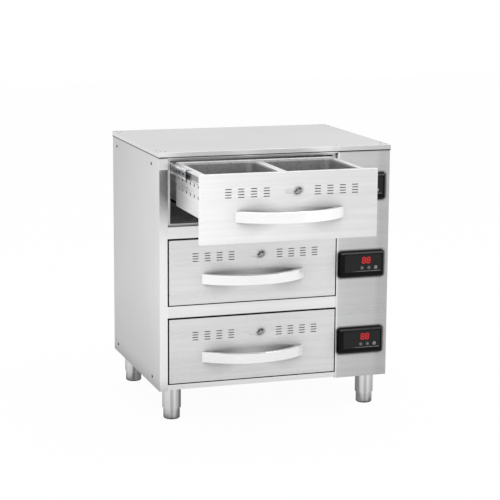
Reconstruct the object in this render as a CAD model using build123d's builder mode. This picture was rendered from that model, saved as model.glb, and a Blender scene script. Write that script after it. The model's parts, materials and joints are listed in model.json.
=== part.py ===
from build123d import *
import os

os.makedirs("parts", exist_ok=True)

# A free-standing drawer warmer: a sheet steel cabinet on four adjustable legs, with three
# heated chambers one above the other. Each chamber has a drawer on telescopic slides that
# holds two food pans, and its own temperature controller in the column at the right.
# Millimetres. X runs to the right, Y to the back, Z up. The origin lies on the floor, under
# the middle of the whole object as it stands here, with its top drawer pulled out.

# Food pans, a standard container of half size, and the box that carries two of them
pan_width = 265.0
pan_length = 325.0
pan_depth = 100.0
pan_sheet = 0.8
pan_rim = 12.5
pan_rim_height = 3.0
pan_taper = 2.0
pan_corner = 28.0
pan_rim_corner = 16.0
pan_play = 0.3
box_sheet = 1.0
box_height = 140.0
box_floor_rim = 20.0
ledge_width = 8.0
ledge_drop = 5.0
hole_radius = 5.5
hole_pitch = 43.0
hole_columns = 7
hole_first = 34.0
hole_row_1 = 44.0
hole_row_2 = 78.0

# Telescopic slides
slide_length = 350.0
slide_space = 13.0
slide_height = 35.0
slide_sheet = 1.2
slide_play = 0.6
slide_drop = 20.5
slide_slot_length = 26.0
slide_slot_width = 5.0
slide_slot_pitch = 40.0
slide_slot_count = 4
slide_slot_start = 87.5
slide_start = 2.0

# Front frame and chambers
post_width = 29.0
control_width = 185.8
bay_count = 3
bay_height = 222.0
rail_height = 40.0
bottom_rail_height = 17.0
skirt = 4.0
top_reveal = 3.0
recess = 17.0
lip_width = 12.0
lip_height = 8.0
liner_sheet = 0.8
chamber_depth = 455.0
seam = 0.5

# Cabinet
sheet = 1.0
fold = 20.0
lid_rim = 18.0
lid_play = 0.3
lid_edge = 1.5
post_edge = 1.2
rear_insulation = 38.0
insulation_play = 0.3
service_depth = 103.0
partition_start = 4.0

# Drawer fronts, vents and handles
front_play_top = 4.0
front_play_bottom = 3.0
front_play_side = 3.0
front_thickness = 16.2
front_sheet = 1.2
front_edge = 1.0
front_corner = 3.0
box_drop = 6.5
vent_width = 20.0
vent_height = 2.7
vent_pitch = 41.0
vent_row_pitch = 8.4
vent_columns = 4
vent_rows = 4
vent_inner = 83.0
vent_shift = 7.0
vent_drop = 47.0
shutter_sheet = 1.2
shutter_play = 0.3
shutter_edge = 12.0
guide_width = 4.0
knob_window_length = 51.0
knob_window_height = 15.0
knob_radius = 5.5
knob_neck = 3.0
knob_reach = 9.0
knob_wing_length = 24.0
knob_wing_width = 4.5
knob_wing_turn = 24.0
handle_length = 352.0
handle_inner_length = 297.0
handle_height = 35.0
handle_reach = 66.0
handle_thickness = 12.0
handle_edge = 1.5
handle_drop = 115.0
pull_out = 350.0

# Temperature controllers
bezel_width = 157.0
bezel_height = 83.0
bezel_reach = 16.0
bezel_bevel = 5.0
bezel_margin = 9.0
bezel_drop = 5.0
cutout_margin = 6.0
cutout_play = 0.5
housing_depth = 68.0
window_width = 133.0
window_height = 60.0
window_left = 15.0
window_top = 8.0
window_sheet = 2.5
window_recess = 1.2
window_play = 0.2
button_radius = 6.2
button_play = 0.3
button_first = 62.5
button_pitch = 24.5
button_drop = 45.0
button_flange = 1.6
button_flange_sheet = 1.0
button_travel = 0.8
button_reach = 0.6
button_edge = 0.4
button_names = ["down", "up", "set"]

# Legs
leg_height = 106.0
leg_side_margin = 16.5
leg_front_margin = 1.0
tube_radius = 31.0
tube_sheet = 1.5
foot_radius = 27.5
foot_height = 37.0
foot_edge = 3.0
foot_play = 0.5
stud_radius = 6.0
stud_play = 0.3
stud_length = 40.0
plug_height = 10.0
leg_plate = 76.0
leg_plate_sheet = 3.0

# Heating elements, probes and wiring
element_radius = 4.0
element_length = 380.0
element_width = 360.0
element_bend = 30.0
element_lift = 22.0
element_tail = 26.0
element_play = 0.5
collar_radius = 9.0
collar_sheet = 2.0
clip_width = 14.0
clip_sheet = 1.5
probe_radius = 3.0
probe_collar = 6.0
probe_length = 70.0
probe_drop = 40.0
probe_margin = 79.0
probe_tail = 13.0
gland_radius = 13.0
gland_reach = 20.0
gland_bore = 5.0
gland_height = 60.0
gland_nut = 6.0
gland_thread = 10.0
gland_edge = 3.0
terminal_width = 70.0
terminal_height = 26.0
terminal_depth = 30.0
terminal_screw = 3.0
terminal_screw_depth = 15.0
terminal_pitch = 12.0
terminal_ways = 5

# Screws
screw_radius = 4.0
screw_head = 1.2
screw_taper = 45.0
screw_play = 0.1
lid_screw_inset = 9.0
lid_screw_end = 20.0
lid_screw_step_x = 18.0
lid_screw_step_y = 44.0
side_screw_front = 95.0
side_screw_back = 58.0
side_screw_end = 29.0

# Rear and base ventilation
louvre_width = 60.0
louvre_height = 4.0
louvre_pitch = 10.0
louvre_count = 6
louvre_drop = 90.0

# Places that follow from the sizes
box_inner_width = 2 * pan_width + 2 * pan_play
box_inner_length = pan_length + 2 * pan_play
box_width = box_inner_width + 2 * box_sheet
liner_width = box_width + 2 * slide_space
bay_width = liner_width + 2 * lip_width
liner_height = bay_height - 2 * lip_height
body_width = post_width + bay_width + control_width
lid_overhang = sheet + lid_play
body_depth = recess + chamber_depth + liner_sheet + rear_insulation + service_depth + sheet
chamber_stack = bay_count * bay_height + (bay_count - 1) * rail_height
body_height = skirt + bottom_rail_height + chamber_stack + top_reveal

left = -body_width / 2
right = body_width / 2
bay_left = left + post_width
bay_right = bay_left + bay_width
bay_middle = (bay_left + bay_right) / 2
control_left = bay_right + seam
liner_left = bay_left + lip_width
liner_right = bay_right - lip_width
probe_x = liner_right - probe_margin

bottom = leg_height
base_top = bottom + skirt
body_top = bottom + body_height
lid_top = body_top + lid_rim
shell_top = lid_top - sheet

handle_front = pull_out + handle_reach
rear_reach = lid_overhang + gland_reach
front = (handle_front - body_depth - rear_reach) / 2
back = front + body_depth
lip_front = front + recess
chamber_front = lip_front + liner_sheet
chamber_back = lip_front + chamber_depth
insulation_front = chamber_back + liner_sheet
insulation_back = insulation_front + rear_insulation

bays = list(range(1, bay_count + 1))


def bay_top(bay):
    """Height of the top of a chamber's opening, counted from the top chamber."""
    return body_top - top_reveal - (bay - 1) * (bay_height + rail_height)


def seen_from_front(y):
    """An upright plane across the cabinet at depth y, with X to the right and Z up."""
    return Plane.XZ.offset(-y)


def slab(x, y, z, mode=Mode.ADD):
    """A flat-sided block between two limits on each axis."""
    middle = [(low + high) / 2 for low, high in (x, y, z)]
    size = [high - low for low, high in (x, y, z)]
    with Locations(tuple(middle)):
        Box(*size, mode=mode)


def folded(points, thickness):
    """Outline of a sheet with square folds: its outer line, and that line moved to its left."""
    normals = []
    for start, end in zip(points, points[1:]):
        run = Vector(*end) - Vector(*start)
        normals.append(Vector(-run.Y, run.X).normalized())
    inner = []
    for index, point in enumerate(points):
        shift = normals[min(index, len(normals) - 1)]
        if 0 < index < len(points) - 1:
            shift = normals[index - 1] + normals[index]
        inner.append(Vector(*point) + shift * thickness)
    outline = [Vector(*point) for point in points] + inner[::-1]
    return [(corner.X, corner.Y) for corner in outline]


def sheet_face(points, thickness):
    """Add the section of a folded sheet to the sketch that is open."""
    Polygon(*folded(points, thickness), align=None)


# Left side panel: one sheet that folds round the front as the left post
with BuildPart() as side_panel_left:
    side_line = [
        (left + fold, back),
        (left, back),
        (left, front),
        (bay_left, front),
        (bay_left, lip_front),
    ]
    with BuildSketch(Plane.XY.offset(bottom)):
        sheet_face(side_line, sheet)
    extrude(amount=shell_top - bottom)
    upright = side_panel_left.edges().filter_by(Axis.Z)
    fillet(upright.group_by(Axis.Y)[0].sort_by(Axis.X)[0], post_edge)
    slab((left + sheet, left + fold), (lip_front, back - fold), (shell_top - sheet, shell_top))
side_panel_left.part.label = "side_panel_left"
export_step(side_panel_left.part, "parts/side_panel_left.step")

# Right side panel: it starts behind the fold of the control column
with BuildPart() as side_panel_right:
    side_line = [(right, lip_front), (right, back), (right - fold, back)]
    with BuildSketch(Plane.XY.offset(bottom)):
        sheet_face(side_line, sheet)
    extrude(amount=shell_top - bottom)
    slab((right - fold, right - sheet), (lip_front, back - fold), (shell_top - sheet, shell_top))
side_panel_right.part.label = "side_panel_right"
export_step(side_panel_right.part, "parts/side_panel_right.step")

# Control column: a front sheet folded back along both sides, with a cut-out per controller
bezel_left = control_left + bezel_margin
bezel_right = bezel_left + bezel_width


def bezel_top(bay):
    """Height of the top edge of a controller's bezel."""
    return bay_top(bay) - bay_height / 2 - bezel_drop + bezel_height / 2


with BuildPart() as control_panel:
    column_line = [
        (control_left, lip_front),
        (control_left, front),
        (right, front),
        (right, lip_front),
    ]
    with BuildSketch(Plane.XY.offset(bottom)):
        sheet_face(column_line, sheet)
    extrude(amount=shell_top - bottom)
    upright = control_panel.edges().filter_by(Axis.Z)
    fillet(upright.group_by(Axis.Y)[0].sort_by(Axis.X)[-1], post_edge)
    for bay in bays:
        opening_top = bezel_top(bay) - cutout_margin
        slab(
            (bezel_left + cutout_margin, bezel_right - cutout_margin),
            (front, front + sheet),
            (opening_top - bezel_height + 2 * cutout_margin, opening_top),
            mode=Mode.SUBTRACT,
        )
control_panel.part.label = "control_panel"
export_step(control_panel.part, "parts/control_panel.step")

# Back panel with vents for the wiring space and a hole for the cable gland
gland_x = right - fold - control_width / 2
gland_z = base_top + gland_height
with BuildPart() as back_panel:
    slab((left + fold, right - fold), (back - sheet, back), (bottom, shell_top))
    slab((left + fold, right - fold), (back - fold, back - sheet), (shell_top - sheet, shell_top))
    with BuildSketch(seen_from_front(back - sheet)):
        with Locations((gland_x, shell_top - louvre_drop)):
            with GridLocations(louvre_width, louvre_pitch, 1, louvre_count):
                Rectangle(louvre_width, louvre_height)
        with Locations((gland_x, gland_z)):
            Circle(gland_thread)
    extrude(amount=-sheet, mode=Mode.SUBTRACT)
back_panel.part.label = "back_panel"
export_step(back_panel.part, "parts/back_panel.step")

# Base panel: a tray with its edges folded up, and air slots under the control column
with BuildPart() as base_panel:
    base_x = (left + sheet, right - sheet)
    base_y = (lip_front, back - sheet)
    slab(base_x, base_y, (base_top - sheet, base_top))
    slab((base_x[0], base_x[0] + sheet), (lip_front, back - fold), (base_top, base_top + fold))
    slab((base_x[1] - sheet, base_x[1]), (lip_front, back - fold), (base_top, base_top + fold))
    slab((left + fold, right - fold), (back - 2 * sheet, back - sheet), (base_top, base_top + fold))
    with BuildSketch(Plane.XY.offset(base_top - sheet)):
        with Locations(((control_left + right) / 2, (front + back) / 2)):
            with GridLocations(louvre_width, louvre_pitch, 1, louvre_count):
                Rectangle(louvre_width, louvre_height)
    extrude(amount=sheet, mode=Mode.SUBTRACT)
base_panel.part.label = "base_panel"
export_step(base_panel.part, "parts/base_panel.step")

# Places of the cover's screws: three near each corner and one over the partition
lid_screws = []
for end_x, inward_x in [(left, 1), (right, -1)]:
    for end_y, inward_y in [(front, 1), (back, -1)]:
        corner_x = end_x + inward_x * lid_screw_inset
        corner_y = end_y + inward_y * lid_screw_end
        lid_screws.append((corner_x, corner_y))
        lid_screws.append((corner_x + inward_x * lid_screw_step_x, corner_y))
        lid_screws.append((corner_x, corner_y + inward_y * lid_screw_step_y))
lid_screws.append((bay_right, front + lid_screw_end))

# Top cover: a shallow cap whose rim hangs over the body on all four sides, with countersinks
# that leave its screws flush
with BuildPart() as top_cover:
    cover_x = (left - lid_overhang, right + lid_overhang)
    cover_y = (front - lid_overhang, back + lid_overhang)
    slab(cover_x, cover_y, (body_top, lid_top))
    fillet(top_cover.edges().group_by(Axis.Z)[-1], lid_edge)
    slab(
        (cover_x[0] + sheet, cover_x[1] - sheet),
        (cover_y[0] + sheet, cover_y[1] - sheet),
        (body_top, shell_top),
        mode=Mode.SUBTRACT,
    )
    with BuildSketch(Plane.XY.offset(lid_top)):
        with Locations(*lid_screws):
            Circle(screw_radius)
    extrude(amount=-sheet, taper=screw_taper, mode=Mode.SUBTRACT)
top_cover.part.label = "top_cover"
export_step(top_cover.part, "parts/top_cover.step")

# Front frame: the header behind the cover's rim, the rails between the drawers, and the
# bottom rail. Each is a sheet folded back to the depth of the chamber lips.
with BuildPart() as header_rail:
    header_line = [
        (lip_front, bay_top(1)),
        (front, bay_top(1)),
        (front, shell_top),
        (lip_front, shell_top),
    ]
    with BuildSketch(Plane.YZ.offset(bay_left)):
        sheet_face(header_line[::-1], sheet)
    extrude(amount=bay_width)
header_rail.part.label = "header_rail"
export_step(header_rail.part, "parts/header_rail.step")

with BuildPart() as cross_rails:
    for bay in bays[:-1]:
        rail_top = bay_top(bay) - bay_height
        rail_line = [
            (lip_front, rail_top),
            (front, rail_top),
            (front, rail_top - rail_height),
            (lip_front, rail_top - rail_height),
        ]
        with BuildSketch(Plane.YZ.offset(bay_left)):
            sheet_face(rail_line, sheet)
        extrude(amount=bay_width)
cross_rails.part.label = "cross_rails"
export_step(cross_rails.part, "parts/cross_rails.step")

with BuildPart() as bottom_rail:
    bottom_line = [
        (lip_front, base_top + bottom_rail_height),
        (front, base_top + bottom_rail_height),
        (front, base_top),
        (lip_front + fold, base_top),
    ]
    with BuildSketch(Plane.YZ.offset(bay_left)):
        sheet_face(bottom_line, sheet)
    extrude(amount=bay_width)
bottom_rail.part.label = "bottom_rail"
export_step(bottom_rail.part, "parts/bottom_rail.step")

# Partition between the chambers and the wiring space behind the control column
partition_left = control_left + sheet
with BuildPart() as partition_wall:
    slab(
        (partition_left, partition_left + sheet),
        (front + partition_start, back - fold),
        (base_top, shell_top),
    )
partition_wall.part.label = "partition_wall"
export_step(partition_wall.part, "parts/partition_wall.step")

# Chamber liners: a tub open to the front, with a lip that stops behind the drawer front.
# The rear wall has holes for the ends of the heating element and for the probe.
for bay in bays:
    liner_top = bay_top(bay) - lip_height
    liner_floor = liner_top - liner_height
    tub_x = (liner_left - liner_sheet, liner_right + liner_sheet)
    tub_z = (liner_floor - liner_sheet, liner_top + liner_sheet)
    with BuildPart() as chamber_liner:
        slab(tub_x, (lip_front, insulation_front), tub_z)
        slab(
            (bay_left - sheet, bay_right + sheet),
            (lip_front, chamber_front),
            (bay_top(bay) - bay_height - sheet, bay_top(bay) + sheet),
        )
        slab(
            (liner_left, liner_right),
            (lip_front, chamber_back),
            (liner_floor, liner_top),
            mode=Mode.SUBTRACT,
        )
        with BuildSketch(seen_from_front(chamber_back)):
            with Locations((bay_middle, liner_floor + element_lift)):
                with GridLocations(element_width, 1, 2, 1):
                    Circle(element_radius + element_play)
            with Locations((probe_x, liner_top - probe_drop)):
                Circle(probe_radius + element_play)
        extrude(amount=-liner_sheet, mode=Mode.SUBTRACT)
    chamber_liner.part.label = f"chamber_liner_{bay}"
    export_step(chamber_liner.part, f"parts/chamber_liner_{bay}.step")

# Heating elements: a sheathed tube bent to a U above the chamber floor, held by a collar at
# each end and a clip near the front
element_front = chamber_back - element_length
tail = chamber_back + liner_sheet + element_tail
half = element_width / 2
with BuildPart() as heating_elements:
    for bay in bays:
        element_z = bay_top(bay) - bay_height + lip_height + element_lift
        bend_y = element_front + element_bend
        with BuildSketch(seen_from_front(bend_y)):
            with Locations((bay_middle, element_z)):
                with GridLocations(element_width, 1, 2, 1):
                    Circle(element_radius)
        extrude(amount=-(tail - bend_y))
        for side in (-1, 1):
            with BuildSketch(seen_from_front(bend_y)):
                with Locations((bay_middle + side * half, element_z)):
                    Circle(element_radius)
            bend_centre = (bay_middle + side * (half - element_bend), bend_y, element_z)
            revolve(axis=Axis(bend_centre, (0, 0, -side)), revolution_arc=90)
        with BuildSketch(Plane.YZ.offset(bay_middle - half + element_bend)):
            with Locations((element_front, element_z)):
                Circle(element_radius)
        extrude(amount=element_width - 2 * element_bend)
        with BuildSketch(seen_from_front(chamber_back - collar_sheet)):
            with Locations((bay_middle, element_z)):
                with GridLocations(element_width, 1, 2, 1):
                    Circle(collar_radius)
        extrude(amount=-collar_sheet)
        for side in (-1, 1):
            clip_x = bay_middle + side * (half - 2 * element_bend)
            slab(
                (clip_x - clip_width / 2, clip_x + clip_width / 2),
                (element_front - clip_sheet / 2, element_front + clip_sheet / 2),
                (element_z - element_lift, element_z),
            )
heating_elements.part.label = "heating_elements"
export_step(heating_elements.part, "parts/heating_elements.step")

# Temperature probes, one through the rear wall of each chamber
with BuildPart() as temperature_probes:
    for bay in bays:
        probe_z = bay_top(bay) - lip_height - probe_drop
        with BuildSketch(seen_from_front(chamber_back - probe_length)):
            with Locations((probe_x, probe_z)):
                Circle(probe_radius)
        extrude(amount=-(probe_length + liner_sheet + probe_tail))
        with BuildSketch(seen_from_front(chamber_back - collar_sheet)):
            with Locations((probe_x, probe_z)):
                Circle(probe_collar)
        extrude(amount=-collar_sheet)
temperature_probes.part.label = "temperature_probes"
export_step(temperature_probes.part, "parts/temperature_probes.step")

# Insulation boards round the chambers
board_y = (chamber_front + insulation_play, insulation_front)
tub_left = liner_left - liner_sheet
tub_right = liner_right + liner_sheet
stack_top = bay_top(1) - lip_height + liner_sheet
stack_floor = bay_top(bay_count) - bay_height + lip_height - liner_sheet
with BuildPart() as insulation:
    slab(
        (left + sheet + insulation_play, tub_left - insulation_play),
        board_y,
        (base_top + fold, shell_top - fold),
    )
    slab(
        (tub_right + insulation_play, partition_left - insulation_play),
        board_y,
        (base_top + fold, shell_top - fold),
    )
    slab((tub_left, tub_right), board_y, (stack_top + insulation_play, shell_top - sheet))
    slab((tub_left, tub_right), board_y, (base_top + sheet, stack_floor - insulation_play))
    for bay in bays[:-1]:
        floor_below = bay_top(bay) - bay_height + lip_height - liner_sheet
        roof_above = bay_top(bay + 1) - lip_height + liner_sheet
        slab(
            (tub_left, tub_right),
            board_y,
            (roof_above + insulation_play, floor_below - insulation_play),
        )
    slab(
        (left + sheet + insulation_play, partition_left - insulation_play),
        (insulation_front + insulation_play, insulation_back),
        (base_top + fold, shell_top - fold),
    )
    with BuildSketch(seen_from_front(insulation_front)):
        for bay in bays:
            liner_floor = bay_top(bay) - bay_height + lip_height
            with Locations((bay_middle, liner_floor + element_lift)):
                with GridLocations(element_width, 1, 2, 1):
                    Rectangle(2 * collar_radius, 2 * collar_radius)
            with Locations((probe_x, bay_top(bay) - lip_height - probe_drop)):
                Rectangle(2 * probe_collar, 2 * probe_collar)
    extrude(amount=-rear_insulation, mode=Mode.SUBTRACT)
insulation.part.label = "insulation"
export_step(insulation.part, "parts/insulation.step")

# Drawers. A drawer is drawn where it stands when shut and moved forward as far as it is out.
drawer_middle = bay_middle
vent_middle = drawer_middle + vent_shift
front_width = bay_width - 2 * front_play_side
front_height = bay_height - front_play_top - front_play_bottom
shutter_travel = vent_pitch / 2


def pulled(bay):
    """How far a drawer is out as the object stands here."""
    return pull_out if bay == 1 else 0.0


def drawer_top(bay):
    """Height of the top edge of a drawer front."""
    return bay_top(bay) - front_play_top


def box_top(bay):
    """Height of the top edge of the box behind a drawer front."""
    return drawer_top(bay) - box_drop


def vent_centres(bay):
    """Centres of the two groups of vent slots."""
    reach = vent_inner + (vent_columns - 1) * vent_pitch / 2
    height = drawer_top(bay) - vent_drop - (vent_rows - 1) * vent_row_pitch / 2
    return [(vent_middle - reach, height), (vent_middle + reach, height)]


def knob_height(bay):
    """Height of the shutter knob, level with the vent slots."""
    return vent_centres(bay)[0][1]


def vent_slots(bay):
    """Add both groups of vent slots to the sketch that is open."""
    with Locations(*vent_centres(bay)):
        with GridLocations(vent_pitch, vent_row_pitch, vent_columns, vent_rows):
            Rectangle(vent_width, vent_height)


shutter_half = vent_inner + (vent_columns - 1) * vent_pitch + vent_width / 2 + shutter_edge
vent_stack = (vent_rows - 1) * vent_row_pitch + vent_height
shutter_height = vent_stack + 2 * shutter_edge

# Drawer fronts: a tray open to the back, with vent slots, a window for the shutter knob, and
# two guides behind that carry the shutter
for bay in bays:
    face = front - pulled(bay)
    top = drawer_top(bay)
    with BuildPart() as drawer_front:
        with BuildSketch(seen_from_front(face)):
            with Locations((drawer_middle, top - front_height / 2)):
                RectangleRounded(front_width, front_height, front_corner)
        extrude(amount=-front_thickness)
        fillet(drawer_front.faces().sort_by(Axis.Y)[0].edges(), front_edge)
        slab(
            (drawer_middle - front_width / 2 + front_sheet,
             drawer_middle + front_width / 2 - front_sheet),
            (face + front_sheet, face + front_thickness),
            (top - front_height + front_sheet, top - front_sheet),
            mode=Mode.SUBTRACT,
        )
        with BuildSketch(seen_from_front(face)):
            vent_slots(bay)
            with Locations((vent_middle, knob_height(bay))):
                SlotOverall(knob_window_length, knob_window_height)
        extrude(amount=-front_sheet, mode=Mode.SUBTRACT)
        guide_back = face + front_sheet + 2 * shutter_play + shutter_sheet + front_sheet
        for side in (-1, 1):
            inner = knob_height(bay) + side * (shutter_height / 2 + shutter_play)
            outer = inner + side * guide_width
            lip = inner - side * guide_width
            guide_x = (vent_middle - shutter_half, vent_middle + shutter_half)
            slab(guide_x, (face + front_sheet, guide_back), sorted((inner, outer)))
            slab(guide_x, (guide_back - front_sheet, guide_back), sorted((lip, outer)))
    drawer_front.part.label = f"drawer_front_{bay}"
    export_step(drawer_front.part, f"parts/drawer_front_{bay}.step")

# Vent shutters: a plate behind the front with a window at each column of slots. Half a pitch
# to the left it shuts them all. Its knob stands at the right end of its window while the
# vents are open.
knob_x = vent_middle + knob_window_length / 2 - knob_window_height / 2
for bay in bays:
    face = front - pulled(bay)
    plate = face + front_sheet + shutter_play
    with BuildPart() as vent_shutter:
        with BuildSketch(seen_from_front(plate)):
            with Locations((vent_middle, knob_height(bay))):
                Rectangle(2 * shutter_half, shutter_height)
            with Locations(*vent_centres(bay)):
                with GridLocations(vent_pitch, 1, vent_columns, 1):
                    Rectangle(vent_width, vent_stack, mode=Mode.SUBTRACT)
        extrude(amount=-shutter_sheet)
        with BuildSketch(seen_from_front(plate)):
            with Locations((knob_x, knob_height(bay))):
                Circle(knob_neck)
        extrude(amount=knob_reach - knob_wing_width)
        with BuildSketch(seen_from_front(plate - knob_reach + knob_wing_width)):
            with Locations((knob_x, knob_height(bay))):
                Circle(knob_radius)
                with Locations(Rotation(0, 0, knob_wing_turn)):
                    SlotOverall(knob_wing_length, knob_wing_width)
        extrude(amount=knob_wing_width)
    vent_shutter.part.label = f"vent_shutter_{bay}"
    export_step(vent_shutter.part, f"parts/vent_shutter_{bay}.step")

# Drawer boxes: perforated sides and a rear wall, with a ledge for the pan rims, an open
# floor, and a backing plate that closes the drawer front
for bay in bays:
    plate_back = front - pulled(bay) + front_thickness
    rear = plate_back + box_inner_length
    top = box_top(bay)
    floor = top - box_height
    box_x = (drawer_middle - box_width / 2, drawer_middle + box_width / 2)
    inner_x = (box_x[0] + box_sheet, box_x[1] - box_sheet)
    with BuildPart() as drawer_box:
        slab(box_x, (plate_back, rear + box_sheet), (floor, top))
        slab(inner_x, (plate_back, rear), (floor + box_sheet, top), mode=Mode.SUBTRACT)
        slab(
            (inner_x[0] + box_floor_rim, inner_x[1] - box_floor_rim),
            (plate_back + box_floor_rim, rear - box_floor_rim),
            (floor, floor + box_sheet),
            mode=Mode.SUBTRACT,
        )
        ledge_z = (top - ledge_drop - box_sheet, top - ledge_drop)
        slab(inner_x, (plate_back, rear), ledge_z)
        slab(
            (inner_x[0] + ledge_width, inner_x[1] - ledge_width),
            (plate_back + ledge_width, rear - ledge_width),
            ledge_z,
            mode=Mode.SUBTRACT,
        )
        with BuildSketch(Plane.YZ.offset(box_x[0])):
            holes_y = plate_back + hole_first + (hole_columns - 1) * hole_pitch / 2
            with Locations((holes_y, top - (hole_row_1 + hole_row_2) / 2)):
                with GridLocations(hole_pitch, hole_row_2 - hole_row_1, hole_columns, 2):
                    Circle(hole_radius)
        extrude(amount=box_width, mode=Mode.SUBTRACT)
        slab(
            (drawer_middle - front_width / 2 + front_sheet,
             drawer_middle + front_width / 2 - front_sheet),
            (plate_back - box_sheet, plate_back),
            (drawer_top(bay) - front_height + front_sheet, drawer_top(bay) - front_sheet),
        )
        with BuildSketch(seen_from_front(plate_back - box_sheet)):
            with Locations(*vent_centres(bay)):
                Rectangle((vent_columns - 1) * vent_pitch + vent_width, vent_stack)
        extrude(amount=-box_sheet, mode=Mode.SUBTRACT)
    drawer_box.part.label = f"drawer_box_{bay}"
    export_step(drawer_box.part, f"parts/drawer_box_{bay}.step")

# Handles: a bowed strap between two arcs, thickest at its middle
for bay in bays:
    face = front - pulled(bay)
    handle_top = drawer_top(bay) - handle_drop
    with BuildPart() as drawer_handle:
        with BuildSketch(Plane.XY.offset(handle_top - handle_height)):
            with BuildLine():
                outer_end = handle_length / 2
                inner_end = handle_inner_length / 2
                ThreePointArc(
                    (drawer_middle - outer_end, face),
                    (drawer_middle, face - handle_reach),
                    (drawer_middle + outer_end, face),
                )
                Line((drawer_middle + outer_end, face), (drawer_middle + inner_end, face))
                ThreePointArc(
                    (drawer_middle + inner_end, face),
                    (drawer_middle, face - handle_reach + handle_thickness),
                    (drawer_middle - inner_end, face),
                )
                Line((drawer_middle - inner_end, face), (drawer_middle - outer_end, face))
            make_face()
        extrude(amount=handle_height)
        arcs = drawer_handle.edges().filter_by(GeomType.CIRCLE)
        chamfer(arcs, handle_edge)
    drawer_handle.part.label = f"drawer_handle_{bay}"
    export_step(drawer_handle.part, f"parts/drawer_handle_{bay}.step")

# Food pans: two to a drawer, side by side. The turned-down edges of their rims stand on the
# ledge of the box.
for bay in bays:
    plate_back = front - pulled(bay) + front_thickness
    pan_y = plate_back + box_inner_length / 2
    rim_under = box_top(bay) - ledge_drop
    rim_top = rim_under + pan_rim_height
    body_size = (pan_width - 2 * pan_rim, pan_length - 2 * pan_rim)
    with BuildPart() as pans:
        for side in (-1, 1):
            pan_x = drawer_middle + side * (pan_width / 2 + pan_play / 2)
            with BuildSketch(Plane.XY.offset(rim_under)):
                with Locations((pan_x, pan_y)):
                    RectangleRounded(pan_width, pan_length, pan_rim_corner)
            extrude(amount=pan_rim_height)
            with BuildSketch(Plane.XY.offset(rim_under)):
                with Locations((pan_x, pan_y)):
                    RectangleRounded(
                        pan_width - 2 * pan_sheet,
                        pan_length - 2 * pan_sheet,
                        pan_rim_corner - pan_sheet,
                    )
            extrude(amount=pan_rim_height - pan_sheet, mode=Mode.SUBTRACT)
            with BuildSketch(Plane.XY.offset(rim_top - pan_sheet)):
                with Locations((pan_x, pan_y)):
                    RectangleRounded(*body_size, pan_corner)
            extrude(amount=-pan_depth, taper=pan_taper)
            with BuildSketch(Plane.XY.offset(rim_top)):
                with Locations((pan_x, pan_y)):
                    RectangleRounded(
                        body_size[0] - 2 * pan_sheet,
                        body_size[1] - 2 * pan_sheet,
                        pan_corner - pan_sheet,
                    )
            extrude(amount=-pan_depth, taper=pan_taper, mode=Mode.SUBTRACT)
    pans.part.label = f"pans_{bay}"
    export_step(pans.part, f"parts/pans_{bay}.step")

# Slides, one on each side of a drawer: three nested channels. The outer one is fixed to the
# chamber wall, the inner one to the box, and the middle one travels half as far as the drawer.
nested = slide_sheet + slide_play


def channel(wall, side, start, length, height, depth, z):
    """One channel of a slide. Its web stands at x = wall and its edges point along side."""
    along = (start, start + length)
    low, high = z - height / 2, z + height / 2
    edges = sorted((wall, wall + side * depth))
    slab(sorted((wall, wall + side * slide_sheet)), along, (low, high))
    slab(edges, along, (low, low + slide_sheet))
    slab(edges, along, (high - slide_sheet, high))


slide_front = chamber_front + slide_start
middle_height = slide_height - 2 * nested
inner_height = middle_height - 2 * nested
middle_depth = slide_space - nested - slide_sheet - slide_play
inner_depth = slide_space - 2 * nested
inner_length = box_inner_length - slide_start - liner_sheet


def slide_level(bay):
    """Height of the middle of a drawer's slides."""
    return box_top(bay) - slide_drop


with BuildPart() as slide_outers:
    for bay in bays:
        for wall, side in [(liner_left, 1), (liner_right, -1)]:
            channel(
                wall, side, slide_front, slide_length, slide_height, middle_depth,
                slide_level(bay),
            )
slide_outers.part.label = "slide_outers"
export_step(slide_outers.part, "parts/slide_outers.step")

for bay in bays:
    middle_start = slide_front - pulled(bay) / 2
    with BuildPart() as slide_middle:
        for wall, side in [(liner_left + nested, 1), (liner_right - nested, -1)]:
            channel(
                wall, side, middle_start, slide_length, middle_height, middle_depth,
                slide_level(bay),
            )
        with BuildSketch(Plane.YZ.offset(liner_left)):
            with Locations((middle_start + slide_slot_start, slide_level(bay))):
                with GridLocations(slide_slot_pitch, 1, slide_slot_count, 1):
                    Rectangle(slide_slot_length, slide_slot_width)
        extrude(amount=liner_width, mode=Mode.SUBTRACT)
    slide_middle.part.label = f"slide_middle_{bay}"
    export_step(slide_middle.part, f"parts/slide_middle_{bay}.step")

    with BuildPart() as slide_inner:
        for wall, side in [(liner_left + slide_space, -1), (liner_right - slide_space, 1)]:
            channel(
                wall, side, slide_front - pulled(bay), inner_length, inner_height,
                inner_depth, slide_level(bay),
            )
    slide_inner.part.label = f"slide_inner_{bay}"
    export_step(slide_inner.part, f"parts/slide_inner_{bay}.step")

# Temperature controllers: a bevelled bezel with its housing behind the panel, a glossy
# display window sunk into it, and three buttons that pass through the window
window_face = front - bezel_reach + window_recess
window_back = window_face + window_sheet
pocket_back = window_back + button_flange_sheet + button_travel + 2 * window_play


def button_centres(bay):
    """Centres of a controller's three buttons."""
    height = bezel_top(bay) - window_top - button_drop
    first = bezel_left + window_left + button_first
    return [(first + index * button_pitch, height) for index in range(len(button_names))]


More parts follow.
